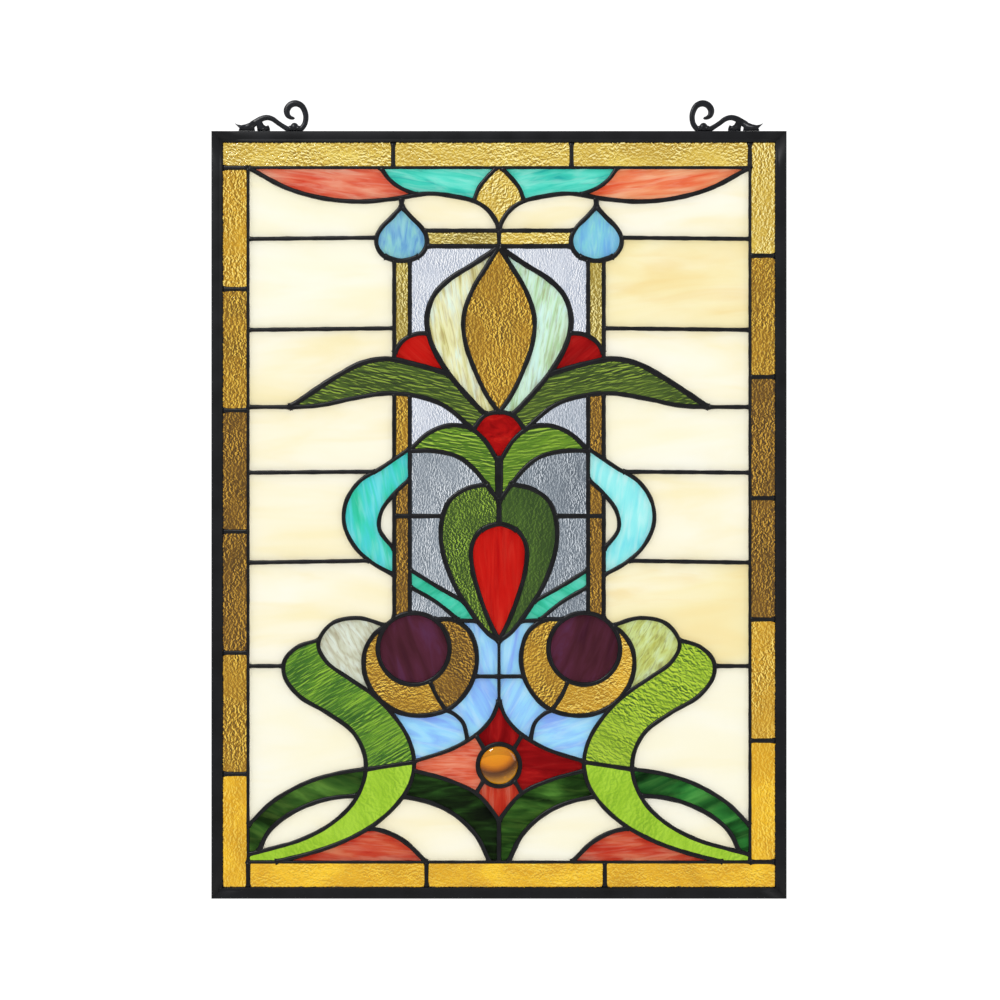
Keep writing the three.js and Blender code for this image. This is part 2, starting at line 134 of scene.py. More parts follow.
# Half outlines of the blue drops and of the red one, and the rings of the discs and of the jewel
blue_drop = [(0, 521), (8, 512.3), (15.5, 504.8), (19.7, 497.3), (19.6, 489.5), (13.5, 481.3), (0, 478)]
red_drop = [(0, 176), (8, 192), (15.5, 212), (21.3, 234), (21.5, 252), (14, 264), (0, 268.7)]
drops = [(drop_middle, blue_drop), (-drop_middle, blue_drop), (0, red_drop)]
jewel_up = 77
rings = [((67.8, 169.5), 28.5), ((-67.8, 169.5), 28.5), ((0, jewel_up), 16.8)]
# The field inside the border, and the glass, which reaches on into the rails' grooves. Three pieces lie
# along each end of the border and six up each side, and a seam between them runs on past the glass.
side, field_foot, field_head = 199.5, 29, 581
sheet_side, sheet_foot, sheet_head = 226, 2.5, 607.5
across, up, past = (sheet_side + side) / 3, (sheet_head - field_foot) / 6, 3.5


def smooth(points, step=2.0):
    """The curve through points: each span is a cubic whose tangents weigh its neighbours by the square
    roots of their lengths. It is worked out at 24 places a span, and read off at equal steps of its own
    length, in millimetres."""
    p = np.array(points, float)
    if len(p) > 2:
        p = np.vstack([2 * p[0] - p[1], p, 2 * p[-1] - p[-2]])
        d = np.sqrt(np.linalg.norm(np.diff(p, axis=0), axis=1))[:, None]
        first, last, gap = p[1:-2], p[2:-1], d[1:-1]
        into = ((first - p[:-3]) / d[:-2] - (last - p[:-3]) / (d[:-2] + gap) + (last - first) / gap) * gap
        out = ((last - first) / gap - (p[3:] - first) / (gap + d[2:]) + (p[3:] - last) / d[2:]) * gap
        t = np.linspace(0, 1, 24, endpoint=False)[None, :, None]
        a, b, m, n = first[:, None], last[:, None], into[:, None], out[:, None]
        cubic = (2 * t**3 - 3 * t**2 + 1) * a + (t**3 - 2 * t**2 + t) * m
        cubic = cubic + (3 * t**2 - 2 * t**3) * b + (t**3 - t**2) * n
        p = np.vstack([cubic.reshape(-1, p.shape[1]), p[-2]])
    along = np.concatenate([[0], np.cumsum(np.linalg.norm(np.diff(p[:, :2], axis=0), axis=1))])
    count = max(int(round(along[-1] / step)), 2) + 1
    places = np.linspace(0, along[-1], count)
    return np.stack([np.interp(places, along, column) for column in p.T], axis=1)


def square_to(path, closed=False):
    """Unit vectors to the left of a path, square to the mean of the stretches on both sides."""
    if closed:
        way = np.roll(path, -1, axis=0) - np.roll(path, 1, axis=0)
    else:
        way = np.gradient(path, axis=0)
    way = way / np.linalg.norm(way, axis=1)[:, None]
    return np.stack([-way[:, 1], way[:, 0]], axis=1)


# Every line with its mirror image, as its solder's width, its points up from the panel's foot, and
# whether it closes on itself
lines = []
for width, *points in drawing:
    run = smooth([(x, y + field_foot) for x, y in points])
    lines.append((width, run, False))
    if np.abs(run[:, 0]).max() > 0.01:
        lines.append((width, run * (-1, 1), False))
for middle, half in drops:
    half = half + [(-half[-2][0], half[-2][1])]
    run = smooth([(x, y + field_foot) for x, y in half])
    lines.append((plain, run + (middle, 0), False))
    lines.append((plain, run * (-1, 1) + (middle, 0), False))
for (x, y), radius in rings:
    turn = np.linspace(0, 2 * np.pi, int(np.pi * radius), endpoint=False)
    circle = np.stack([x + radius * np.cos(turn), y + field_foot + radius * np.sin(turn)], axis=1)
    lines.append((plain, circle, True))
corners = [(-side, field_foot), (side, field_foot), (side, field_head), (-side, field_head)]
lines += [(thin, smooth([corners[i], corners[(i + 1) % 4]]), False) for i in range(4)]
for i in (1, 2, 3):
    x = i * across - sheet_side
    lines.append((fine, smooth([(x, field_head), (x, sheet_head + past)]), False))
    lines.append((fine, smooth([(-x, field_foot), (-x, sheet_foot - past)]), False))
for i in range(1, 7):
    for way, y in ((1, sheet_head - i * up), (-1, sheet_foot + i * up)):
        lines.append((fine, smooth([(way * side, y), (way * (sheet_side + past), y)]), False))

# Cut glass
# Every pane of the drawing, cut from 3 mm sheet and wrapped in copper foil, which the solder covers.
# A pane's edge lies 0.35 mm inside its solder line, and its grain runs the way it was laid on the sheet.
foil = 0.35
glass_half = 1.5


def cut_sheet():
    """Cuts the sheet's rectangle along both edges of every line, and numbers the triangles of each
    pane alike: triangles on both sides of an edge that isn't a cut share the lower number."""
    loops = [np.array([(-sheet_side, sheet_foot), (sheet_side, sheet_foot), (sheet_side, sheet_head),
                       (-sheet_side, sheet_head)], float)]
    for width, path, closed in lines:
        reach = square_to(path, closed) * (width / 2 - foil)
        if closed:
            loops += [path + reach, path - reach]
        else:
            loops.append(np.vstack([path + reach, (path - reach)[::-1]]))
    starts = np.cumsum([0] + [len(loop) for loop in loops])
    edges = [np.stack([np.arange(n), np.roll(np.arange(n), -1)], axis=1) + start
             for n, start in zip([len(loop) for loop in loops], starts)]
    flat = [Vector(p) for p in np.vstack(loops).tolist()]
    points, sides, triangles, _, origins, _ = delaunay_2d_cdt(flat, np.vstack(edges).tolist(), [], 0, 1e-4)
    points, triangles = np.array([tuple(p) for p in points]), np.array(triangles)
    cuts = np.array([edge for edge, origin in zip(sides, origins) if origin])
    total = len(points)
    cut_keys = np.unique(np.sort(cuts, axis=1) @ (total, 1))
    pairs = np.concatenate([triangles[:, [0, 1]], triangles[:, [1, 2]], triangles[:, [2, 0]]])
    keys = np.sort(pairs, axis=1) @ (total, 1)
    owner = np.tile(np.arange(len(triangles)), 3)
    order = np.argsort(keys, kind="stable")
    keys, owner = keys[order], owner[order]
    twin = (keys[:-1] == keys[1:]) & ~np.isin(keys[:-1], cut_keys)
    one, other = owner[:-1][twin], owner[1:][twin]
    number = np.arange(len(triangles))
    while True:
        low = number.copy()
        np.minimum.at(low, one, number[other])
        np.minimum.at(low, other, number[one])
        low = low[low]
        if (low == number).all():
            return points, triangles, number
        number = low


def pane_at(place):
    """The triangles of the pane at a place. It is the pane of the triangle whose three sides all have
    the place on their left."""
    a, b, c = (sheet_points[sheet_triangles[:, i]] - place for i in range(3))
    holds = np.ones(len(a), bool)
    for p, q in ((a, b), (b, c), (c, a)):
        holds &= p[:, 0] * q[:, 1] - p[:, 1] * q[:, 0] > 0
    if not holds.any():
        raise ValueError(f"no pane at {place}")
    return sheet_triangles[pane_number == pane_number[holds.argmax()]]


def plate(triangles):
    """A flat plate over a pane's triangles: its front at -y, its back at +y, and walls on each edge
    that only one triangle has."""
    used, corner = np.unique(triangles, return_inverse=True)
    corner = corner.reshape(-1, 3)
    x, z = sheet_points[used].T
    count = len(used)
    points = np.vstack([np.stack([x, np.full(count, y), z], axis=1) for y in (-glass_half, glass_half)])
    edges = np.concatenate([corner[:, [0, 1]], corner[:, [1, 2]], corner[:, [2, 0]]])
    keys = np.sort(edges, axis=1) @ (count, 1)
    _, first, times = np.unique(keys, return_index=True, return_counts=True)
    a, b = edges[first[times == 1]].T
    walls = np.stack([b, a, a + count, b + count], axis=1)
    return points, [*corner.tolist(), *(corner[:, ::-1] + count).tolist(), *walls.tolist()]


def add_piece(name, points, faces, replaced, materials, grain=None, slots=None,
              smooth_faces=True):
    """One finished piece from points in millimetres over the panel's foot, with its place in its mesh."""
    mesh = bpy.data.meshes.new(name)
    mesh.from_pydata((np.asarray(points) / 1000 + (0, 0, foot)).tolist(), [], faces)
    mesh.polygons.foreach_set("use_smooth", np.full(len(mesh.polygons), smooth_faces))
    if grain is not None:
        corners_of = np.empty(len(mesh.loops), int)
        mesh.loops.foreach_get("vertex_index", corners_of)
        layer = mesh.uv_layers.new(name="grain")
        layer.data.foreach_set("uv", np.asarray(grain, float)[corners_of].ravel())
    for material in materials:
        mesh.materials.append(material)
    if slots is not None:
        mesh.polygons.foreach_set("material_index", np.asarray(slots, int))
    mesh.update()
    piece = bpy.data.objects.new(name, mesh)
    scene.collection.objects.link(piece)
    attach(piece, "root")
    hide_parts(*replaced)


def linear(code):
    """An sRGB hex colour as linear red, green, blue and alpha."""
    value = np.array([int(code[i:i + 2], 16) for i in (0, 2, 4)]) / 255
    value = np.where(value <= 0.04045, value / 12.92, ((value + 0.055) / 1.055) ** 2.4)
    return (*value.tolist(), 1.0)


def add_node(tree, kind, links=None, stops=None, **settings):
    """A node with its settings. links gives inputs by name or number: a socket is linked, and anything
    else is the input's value. stops are a colour ramp's places and colours."""
    new = tree.nodes.new("ShaderNode" + kind)
    for key, value in settings.items():
        setattr(new, key, value)
    for key, value in (links or {}).items():
        if isinstance(value, bpy.types.NodeSocket):
            tree.links.new(value, new.inputs[key])
        else:
            new.inputs[key].default_value = value
    if stops:
        elements = new.color_ramp.elements
        while len(elements) < len(stops):
            elements.new(0.5)
        for element, (position, code) in zip(elements, stops):
            element.position = position
            element.color = linear(code)
    return new


def new_material(name):
    """An empty material and its node tree."""
    material = bpy.data.materials.new(name)
    material.use_nodes = True
    material.node_tree.nodes.clear()
    return material, material.node_tree


def glass_sheet(name, colours, streak, relief=(), dark="", light="", contrast=1.0, wisp="", wisps=0.4,
                opal=False, gloss=0.08, bump=0.4, twist=0.7, glint=(0.03, 0.13)):
    """Sheet glass. Streaks of the colours, streak mm long and wide, come from stretched noise, and wisps
    of one more colour lie over them. The relief is finer noise, relief mm long and wide: its slope across
    the grain, taken between two readings half a ridge apart, paints shade in the dark colour on one flank
    of each ridge and highlights, glints, in the light colour on the other, where light bent by thick and
    thin glass would fall, more in some patches than in others. Opal glass scatters nearly all the light
    that passes it. Each of its two faces takes the square root of the colour, so that both together give
    the colour itself."""
    material, tree = new_material(name)
    grain = add_node(tree, "UVMap", uv_map="grain").outputs[0]

    def cloud(size, detail, distortion, shift=0.0):
        """Noise whose patches are size mm long and wide, shifted across the grain by a share of a patch."""
        scale = (1000 / size[0], 1000 / size[1], 1)
        place = add_node(tree, "VectorMath", {0: grain, 1: scale, 2: (0, shift, 0)},
                         operation="MULTIPLY_ADD").outputs[0]
        return add_node(tree, "TexNoise", {"Vector": place, "Scale": 1.0, "Detail": detail,
                                           "Distortion": distortion}).outputs[0]

    def over(pattern, low, high, top, below, code):
        """A colour laid over the one below, thickening from none to top as the pattern goes from low to
        high."""
        amount = add_node(tree, "MapRange", {"Value": pattern, "From Min": low, "From Max": high,
                                             "To Max": top}, interpolation_type="SMOOTHSTEP").outputs[0]
        return add_node(tree, "Mix", {0: amount, 6: below, 7: linear(code)}, data_type="RGBA").outputs[2]

    stops = [(0.3 + 0.4 * i / max(len(colours) - 1, 1), code) for i, code in enumerate(colours)]
    colour = add_node(tree, "ValToRGB", {"Fac": cloud(streak, 4.0, 1.2)}, stops=stops).outputs[0]
    if wisp:
        thread = cloud((streak[0] * 0.6, streak[1] * 0.45), 3.0, 0.9, 37.0)
        colour = over(thread, 0.45, 0.75, wisps, colour, wisp)
    links = {"Roughness": gloss, "IOR": 1.52, "Specular IOR Level": 0.2}
    if relief:
        fields = [cloud(relief, 1.5, twist, shift) for shift in (0.0, 0.45)]
        slope = add_node(tree, "Math", {0: fields[0], 1: fields[1]}, operation="SUBTRACT").outputs[0]
        patch = add_node(tree, "MapRange", {"Value": cloud((relief[0] * 12, relief[1] * 12), 2.0, 0.6, 11.0),
                                            "From Min": 0.38, "From Max": 0.62, "To Min": 0.4 * contrast,
                                            "To Max": contrast}).outputs[0]
        # Painted shade on one flank of each ridge, and painted highlights (glints) on the other
        colour = over(slope, 0.01, -0.13, patch, colour, dark)
        colour = over(slope, *glint, patch, colour, light)
        links["Normal"] = add_node(tree, "Bump", {"Strength": bump, "Distance": 0.0006,
                                                  "Height": fields[0]}).outputs[0]
    links["Transmission Weight"] = 0.0 if opal else 1.0
    body = add_node(tree, "BsdfPrincipled", {"Base Color": colour, **links}).outputs[0]
    if opal:
        scattered = 0.97
        tint = add_node(tree, "Gamma", {0: colour, 1: 0.5}).outputs[0]
        glow = add_node(tree, "BsdfTranslucent", {"Color": tint}).outputs[0]
        body = add_node(tree, "MixShader", {0: scattered, 1: body, 2: glow}).outputs[0]
    add_node(tree, "OutputMaterial", {"Surface": body})
    return material


# What the sheets of a kind share: their streaks and their rolled ridges, gloss and relief
hammered = dict(streak=(60, 40), relief=(2.7, 1.9), gloss=0.06, bump=0.6, twist=0.9)
granite = dict(streak=(40, 30), relief=(2.5, 1.1), gloss=0.1, bump=0.6, glint=(0.04, 0.13))
rippled = dict(streak=(60, 26), relief=(13, 1.7), gloss=0.08, bump=0.6, twist=0.6, glint=(0.04, 0.16))
opaline = dict(opal=True, gloss=0.14)
# A textured sheet's dark and light colours are the painted shade and the painted highlights, glints, on its
# ridges' flanks
sheets = {
    # Hammered amber, machine-rolled: short crossing ridges
    "amber_pale": glass_sheet("hammered_amber_pale", ["c6a43a", "d6b646", "e8ce5e"], dark="8a6a18",
                              light="fff4b0", **hammered),
    "amber_warm": glass_sheet("hammered_amber_warm", ["b28414", "c4931c", "d6a526"], dark="7c5a08",
                              light="fbe078", **hammered),
    "amber": glass_sheet("hammered_amber", ["8a640c", "9e7210", "b28418"], dark="563e06", light="f0ca54",
                         **hammered),
    "amber_brown": glass_sheet("hammered_amber_brown", ["5a3e06", "6c4a0a", "845e12"], dark="362304",
                               light="d0a23a", **hammered),
    "amber_olive": glass_sheet("hammered_amber_olive", ["96802c", "a89238", "bca648"], dark="6e5a1c",
                               light="f4e8a4", **hammered),
    "amber_gold": glass_sheet("hammered_amber_gold", ["c8940e", "dca616", "f2c222"], dark="a4760a",
                              light="ffe670", contrast=0.5, **hammered),
    # Opalescent: coloured and white glass stirred while hot and rolled smooth
    "cream": glass_sheet("opal_cream", ["f8eec4", "faf4d8", "fbf7e2", "fbf8e8"], (170, 45),
                         wisp="f4e3a4", wisps=0.4, **opaline),
    "cream_deep": glass_sheet("opal_cream_deep", ["f5e4aa", "f7ecba", "f9f1ca", "faf5d8"], (150, 40),
                              wisp="eecd7c", wisps=0.5, **opaline),
    "white": glass_sheet("opal_white", ["f9f4d6", "faf7e2", "faf9ec"], (170, 50), wisp="f6eab8", wisps=0.3,
                         **opaline),
    "coral": glass_sheet("opal_coral", ["d03622", "dc5e44", "e58264", "f0b094"], (46, 6), wisp="f6ccb4",
                         wisps=0.6, **opaline),
    "coral_hot": glass_sheet("opal_coral_hot", ["de4424", "ea7048", "f09666", "f6bc94"], (50, 6.5),
                             wisp="fbd6b4", wisps=0.65, **opaline),
    "coral_deep": glass_sheet("opal_coral_deep", ["a82014", "bc3020", "c84a30", "d88460"], (50, 8),
                              wisp="eab498", wisps=0.5, **opaline),
    "teal": glass_sheet("opal_teal", ["20a4a0", "3ccfb8", "60e2ce", "a4eee0"], (50, 9), wisp="c0f4ea",
                        wisps=0.6, **opaline),
    "blue": glass_sheet("opal_blue", ["4c80c8", "6ca8d4", "84c6d4", "a4e0cc"], (24, 5.5), wisp="b4e4ec",
                        wisps=0.5, **opaline),
    "blue_pale": glass_sheet("opal_blue_pale", ["64a0e4", "70b6e2", "7ccade", "98e0d2"], (26, 6),
                             wisp="bceaf0", wisps=0.5, **opaline),
    "sky": glass_sheet("opal_sky", ["7c9cf2", "88bcfa", "98dafc", "bceafd"], (44, 9), wisp="d2ecfd",
                       wisps=0.5, **opaline),
    "ribbon_left": glass_sheet("opal_teal_ribbon", ["28bc88", "3cd2b4", "4cd2da", "7ce4f0"], (50, 9),
                               wisp="b0f2f2", wisps=0.45, **opaline),
    "ribbon_right": glass_sheet("opal_cyan_ribbon", ["58d4e6", "7ce6ec", "98f0f0", "c8f7f6"], (50, 9),
                                wisp="dcfbfa", wisps=0.6, **opaline),
    "tail": glass_sheet("opal_green_tail", ["28b088", "3cc8a4", "4cd8b8", "74e4d0"], (35, 7), wisp="90e4d4",
                        wisps=0.4, **opaline),
    "petal_left": glass_sheet("opal_petal_yellow", ["b0a264", "d6d48a", "f4f4c4", "ecfcea", "e2fcf4"],
                              (34, 4.5), wisp="94743c", wisps=0.7, **opaline),
    "petal_right": glass_sheet("opal_petal_mint", ["a0ac78", "b4deac", "daf8e2", "d4fcf6", "e4fefe"],
                               (34, 4.5), wisp="84764a", wisps=0.75, **opaline),
    "pearl_left": glass_sheet("opal_pearl_grey", ["aca88c", "ccd0b8", "e2eadc", "e8f6ee"], (18, 5),
                             wisp="94805a", wisps=0.7, **opaline),
    "pearl_right": glass_sheet("opal_pearl_green", ["b0b050", "c8d478", "d6e8a4", "dcf4d0"], (16, 5),
                              wisp="74602a", wisps=0.75, **opaline),
    "red": glass_sheet("opal_red", ["a80c10", "bc1612", "c81e18", "d63426"], (70, 8), wisp="de5040",
                       wisps=0.2, **opaline),
    "red_dark": glass_sheet("opal_red_dark", ["800a0e", "961214", "a81818", "b42824"], (60, 10),
                            wisp="c03c34", wisps=0.2, **opaline),
    "ruby": glass_sheet("opal_ruby", ["680a0e", "820e12", "9a1416", "b82420"], (44, 9), wisp="c83c34",
                        wisps=0.25, **opaline),
    "red_mottled": glass_sheet("opal_red_mottled", ["7c0c0e", "a41214", "c01c18", "d43024"], (13, 9),
                               wisp="7a1010", wisps=0.5, **opaline),
    "salmon": glass_sheet("opal_salmon", ["c03626", "d6543a", "e07050", "ee9e80"], (34, 4.5), wisp="f4bea4",
                          wisps=0.55, **opaline),
    "amethyst": glass_sheet("opal_amethyst", ["3a1a26", "46222a", "542838", "5a3252"], (60, 12),
                            wisp="64304c", wisps=0.3, **opaline),
    "forest": glass_sheet("opal_forest", ["0c2210", "1a4a20", "307e36", "5cac52"], (60, 13), wisp="74b858",
                          wisps=0.3, **opaline),
    "forest_olive": glass_sheet("opal_forest_olive", ["10200c", "22401a", "3a6226", "64943c"], (60, 13),
                                wisp="7c9c44", wisps=0.3, **opaline),
    "night": glass_sheet("opal_night_green", ["0e1a0c", "1c3614", "325a22", "60983c"], (50, 9), wisp="6c983c",
                         wisps=0.35, **opaline),
    "night_dark": glass_sheet("opal_night_black", ["0a0c0a", "12180f", "1a2c14", "346026"], (50, 9),
                              wisp="3c6826", wisps=0.3, **opaline),
    # Granite-textured clear: fine upright grain
    "granite": glass_sheet("granite_clear", ["bac2d0", "c6ccd8", "d0d6e0"], dark="8690a4", light="ffffff",
                           **granite),
    "granite_shade": glass_sheet("granite_clear_shade", ["9aa4b0", "a6aeba", "b2bac4"], dark="66707e",
                                 light="eef2f8", **granite),
    "granite_slate": glass_sheet("granite_clear_slate", ["606a74", "6e7882", "7e8892"], dark="444e58",
                                 light="dce2e8", **granite),
    "granite_grey": glass_sheet("granite_clear_grey", ["747e88", "828c96", "949ea8"], dark="525c66",
                                light="eef2f6", **granite),
    # Rippled green: long ridges that lie across the leaf
    "leaf": glass_sheet("rippled_olive", ["304406", "3e5610", "52681a"], dark="142208", light="90a838",
                        **rippled),
    "leaf_short": glass_sheet("rippled_moss", ["446c08", "567f10", "6a9218"], dark="203e06", light="a0c040",
                              **rippled),
    "leaf_glitter": glass_sheet("seedy_green", ["263e08", "344e0c", "446014"], (40, 20), (1.8, 1.6),
                                dark="1a3006", light="98ba3c", gloss=0.08, bump=0.6),
    "leaf_dark": glass_sheet("smooth_green", ["223c08", "2c480c", "3a5814"], (60, 12), (3, 2), dark="1a3208",
                             light="6c8e30", contrast=0.35, gloss=0.06, bump=0.2),
    "stem_left": glass_sheet("rippled_lime_dark", ["2a5c0c", "3e7014", "5e8e1a", "86b02a"], dark="20480a",
                             light="90b834", **rippled),
    "stem_right": glass_sheet("rippled_lime", ["7c9e18", "88aa20", "98b82c"], (60, 30), (4.6, 2.2),
                              dark="244a08", light="bcd438", gloss=0.08, bump=0.6),
    "stem_low": glass_sheet("rippled_lime_pale", ["86b218", "92be20", "a2cc32"], (60, 30), (5, 3),
                            dark="5c8c12", light="b8da44", contrast=0.35, gloss=0.08, bump=0.2),
}

# Silver-backed copper foil round every pane's edge: its bright inside throws light back into the glass,
# so pale panes stay bright up to the solder
material, tree = new_material("silver_backed_foil")
place = add_node(tree, "TexCoord").outputs["Object"]
cloud = add_node(tree, "TexNoise", {"Vector": place, "Scale": 120.0, "Detail": 3.0}).outputs[0]
colour = add_node(tree, "ValToRGB", {"Fac": cloud}, stops=[(0.3, "f6f2ec"), (0.7, "fefcf8")]).outputs[0]
body = add_node(tree, "BsdfPrincipled", {"Base Color": colour, "Metallic": 1.0, "Roughness": 0.2}).outputs[0]
add_node(tree, "OutputMaterial", {"Surface": body})
sheets["foil"] = material

# Panes by the solid they belong to: a place in each pane, its grain's angle and its sheets, left and
# right. A pane with one sheet lies in the middle or alike on both sides.
panes = {
    "cream_background": [(150, 510, 0, "white", "cream"), (40, 515, 0, "cream", "cream"),
                         (150, 460, 2, "white", "cream_deep"), (150, 408, -2, "cream", "cream"),
                         (150, 335, 0, "cream", "white"), (160, 275, 3, "cream", "cream"),
                         (160, 200, 0, "cream", "cream_deep"), (180, 110, 0, "white", "white")],
    "white_lens": [(150, 35, 20, "white", "white")],
    "white_foot": [(45, 15, 0, "cream", "white")],
    "coral_swag": [(130, 540, 8, "coral", "coral_hot")],
    "coral_foot": [(100, 10, 5, "coral_deep", "coral_deep")],
    "teal_swag": [(50, 542, 10, "teal", "teal")],
    "blue_drop": [(drop_middle, 495, 90, "blue", "blue_pale")],
    "amber_bar_upper": [(77.1, 450, 90, "amber_olive", "amber_olive")],
    "amber_bar_lower": [(77, 285, 90, "amber_brown", "amber_brown"),
                        (77, 230, 90, "amber_brown", "amber_brown"), (88, 270, 0, "white", "white")],
    "clear_glass_upper": [(63, 455, 90, "granite", "granite")],
    "clear_glass_middle": [(50, 357, 90, "granite", "granite_shade"), (77, 350, 90, "amber", "amber_brown")],
    "clear_glass_lower": [(60, 300, 90, "granite_grey", "granite_slate"),
                          (60, 250, 90, "granite_grey", "granite_slate"), (50, 213, -32, "tail", "tail"),
                          (58, 204, 90, "granite_grey", "granite_slate")],
    "tulip_petal": [(42, 430, 80, "petal_left", "petal_right")],
    "red_petal": [(65, 410, 40, "red", "red_dark")],
    "long_leaf": [(100, 385, 12, "leaf", "leaf")],
    "ribbon": [(110, 275, 80, "ribbon_left", "ribbon_right")],
    "opal_petal": [(125, 175, 60, "pearl_left", "pearl_right")],
    "amethyst_disc": [(60, 165, 70, "amethyst", "amethyst")],
    "gold_crescent": [(28, 160, 40, "amber_brown", "amber"), (80, 130, 0, "amber", "amber_warm")],
    "stem": [(120, 125, -30, "stem_left", "stem_right"), (90, 50, 60, "stem_low", "stem_low")],
    "dark_arc": [(150, 55, 20, "forest_olive", "forest")],
    "amber_border_glass": [], "amber_diamond_glass": [(0, 530, 45, "amber_pale")],
    "amber_bars_top_glass": [(30, 496, 0, "amber_olive", "amber_pale")],
    "tulip_heart_glass": [(0, 430, 90, "amber")], "red_diamond_glass": [(0, 345, 0, "red_mottled")],
    "short_leaves_glass": [(40, 335, 8, "leaf_short", "leaf_short"),
                           (34, 250, 80, "leaf_glitter", "leaf_dark")],
    "red_drop_glass": [(0, 240, 90, "red")],
    "sky_glass": [(12, 165, 80, "sky", "sky"), (15, 130, 60, "sky", "sky"), (55, 100, 15, "sky", "sky")],
    "star_glass": [(0, 110, 90, "ruby"), (0, 48, 90, "coral_deep"), (40, 77, 0, "salmon", "ruby")],
    "dark_arcs_inner_glass": [(40, 53, -4, "night_dark", "night")],
}
# The border's pieces lie round the field. Its sheets darken towards the middle of each side.
border = panes["amber_border_glass"]
for i in range(3):
    border.append(((i + 0.5) * across - sheet_side, 562, 0, "amber_pale"))
    border.append((sheet_side - (i + 0.5) * across, -10, 0, "amber_gold"))
for i in range(6):
    border.append((213, sheet_head - field_foot - (i + 0.5) * up, 90,
                   ("amber_pale", "amber", "amber_brown", "amber_brown", "amber_warm", "amber_gold")[i]))
    border.append((-213, sheet_foot - field_foot + (i + 0.5) * up, 90,
                   ("amber_gold", "amber", "amber_brown", "amber_brown", "amber", "amber_warm")[i]))
sheet_points, sheet_triangles, pane_number = cut_sheet()
for name, cut in panes.items():
    alone = name.endswith("_glass")
    for way in (0,) if alone else (1, -1):
        chosen = []
        for x, y, angle, *kinds in cut:
            if way:
                chosen.append((way * x, y, way * angle, kinds[way > 0]))
            elif len(kinds) == 2:
                chosen += [(x, y, angle, kinds[1]), (-x, y, -angle, kinds[0])]
            else:
                chosen.append((x, y, angle, kinds[0]))
        points, faces, grain, slots, used = [], [], [], [], ["foil"]
        for x, y, angle, kind in chosen:
            pane = pane_at((x, y + field_foot))
            pane_points, pane_faces = plate(pane)
            cosine, sine = np.cos(np.radians(angle)), np.sin(np.radians(angle))
            along = pane_points[:, [0, 2]] @ np.array([[cosine, -sine], [sine, cosine]])
            if kind not in used:
                used.append(kind)
            # The glass on both faces is of its sheet, and the walls are foiled
            slots += [used.index(kind)] * 2 * len(pane) + [0] * (len(pane_faces) - 2 * len(pane))
            faces += [[corner + len(points) for corner in face] for face in pane_faces]
            # Each pane is cut from another part of its sheet
            grain += ((along + (7 * x, 3 * y)) / 1000).tolist()
            points += pane_points.tolist()
        node_name = name if alone else name + ("_right" if way > 0 else "_left")
        add_piece(f"pane_{node_name}", points, faces, [node_name],
                  [sheets[kind] for kind in used], grain, slots, smooth_faces=False)

# Jewel
# A pressed cabochon of amber glass in the middle of the star, domed in front and flat behind. It is
# foiled round its girdle like a pane, and soldered into its ring.
def ring_faces(rings, sides, closed=False, capped=True, flipped=False):
    """The faces of a skin over rings of points, with the same count in each: a quad between each two
    points of a ring and those of the next. The last ring is joined to the first if the skin is closed,
    or else a cap lies on both ends."""
    i, j = np.meshgrid(np.arange(rings if closed else rings - 1), np.arange(sides), indexing="ij")
    here, there, beside = i * sides, (i + 1) % rings * sides, (j + 1) % sides
    quads = np.stack([here + j, here + beside, there + beside, there + j], axis=-1).reshape(-1, 4)
    end = (rings - 1) * sides
    caps = [] if closed or not capped else [[*range(sides)][::-1], [*range(end, end + sides)]]
    if flipped:
        quads, caps = quads[:, [0, 3, 2, 1]], [cap[::-1] for cap in caps]
    return quads.tolist() + caps


def turned(profile, sides=64):
    """A surface of revolution about y: each point (radius, y) of the profile goes round once, and the
    profile's two ends on the axis are single points."""
    turn = np.linspace(0, 2 * np.pi, sides, endpoint=False)
    r, y = np.array(profile[1:-1]).T
    x, z = np.outer(r, np.cos(turn)), np.outer(r, np.sin(turn))
    hoops = np.stack([x, np.repeat(y[:, None], sides, 1), z], axis=2).reshape(-1, 3)
    points = np.vstack([hoops, (0, profile[0][1], 0), (0, profile[-1][1], 0)])
    k = np.arange(sides)
    beside, end, tip = (k + 1) % sides, (len(r) - 1) * sides, len(r) * sides
    tips = np.vstack([np.stack([beside, k, np.full(sides, tip)], axis=1),
                      np.stack([end + k, end + beside, np.full(sides, tip + 1)], axis=1)])
    return points, ring_faces(len(r), sides, capped=False) + tips.tolist()


# A straight wall inside the solder, and a dome over it that is fuller than a circle
radius, turn = 15.6, np.linspace(0, np.pi / 2, 14)
rim = [(radius - 0.4, 1.5), (radius, 1.2), (radius, 0.2)]
dome = np.stack([radius * np.cos(turn) ** 0.8, -0.1 - 4.35 * np.sin(turn)], axis=1)[1:-1].tolist()
points, faces = turned([(0, 1.5), *rim, *dome, (0, -4.45)])
material, tree = new_material("amber_cabochon")
place = add_node(tree, "TexCoord").outputs["Object"]
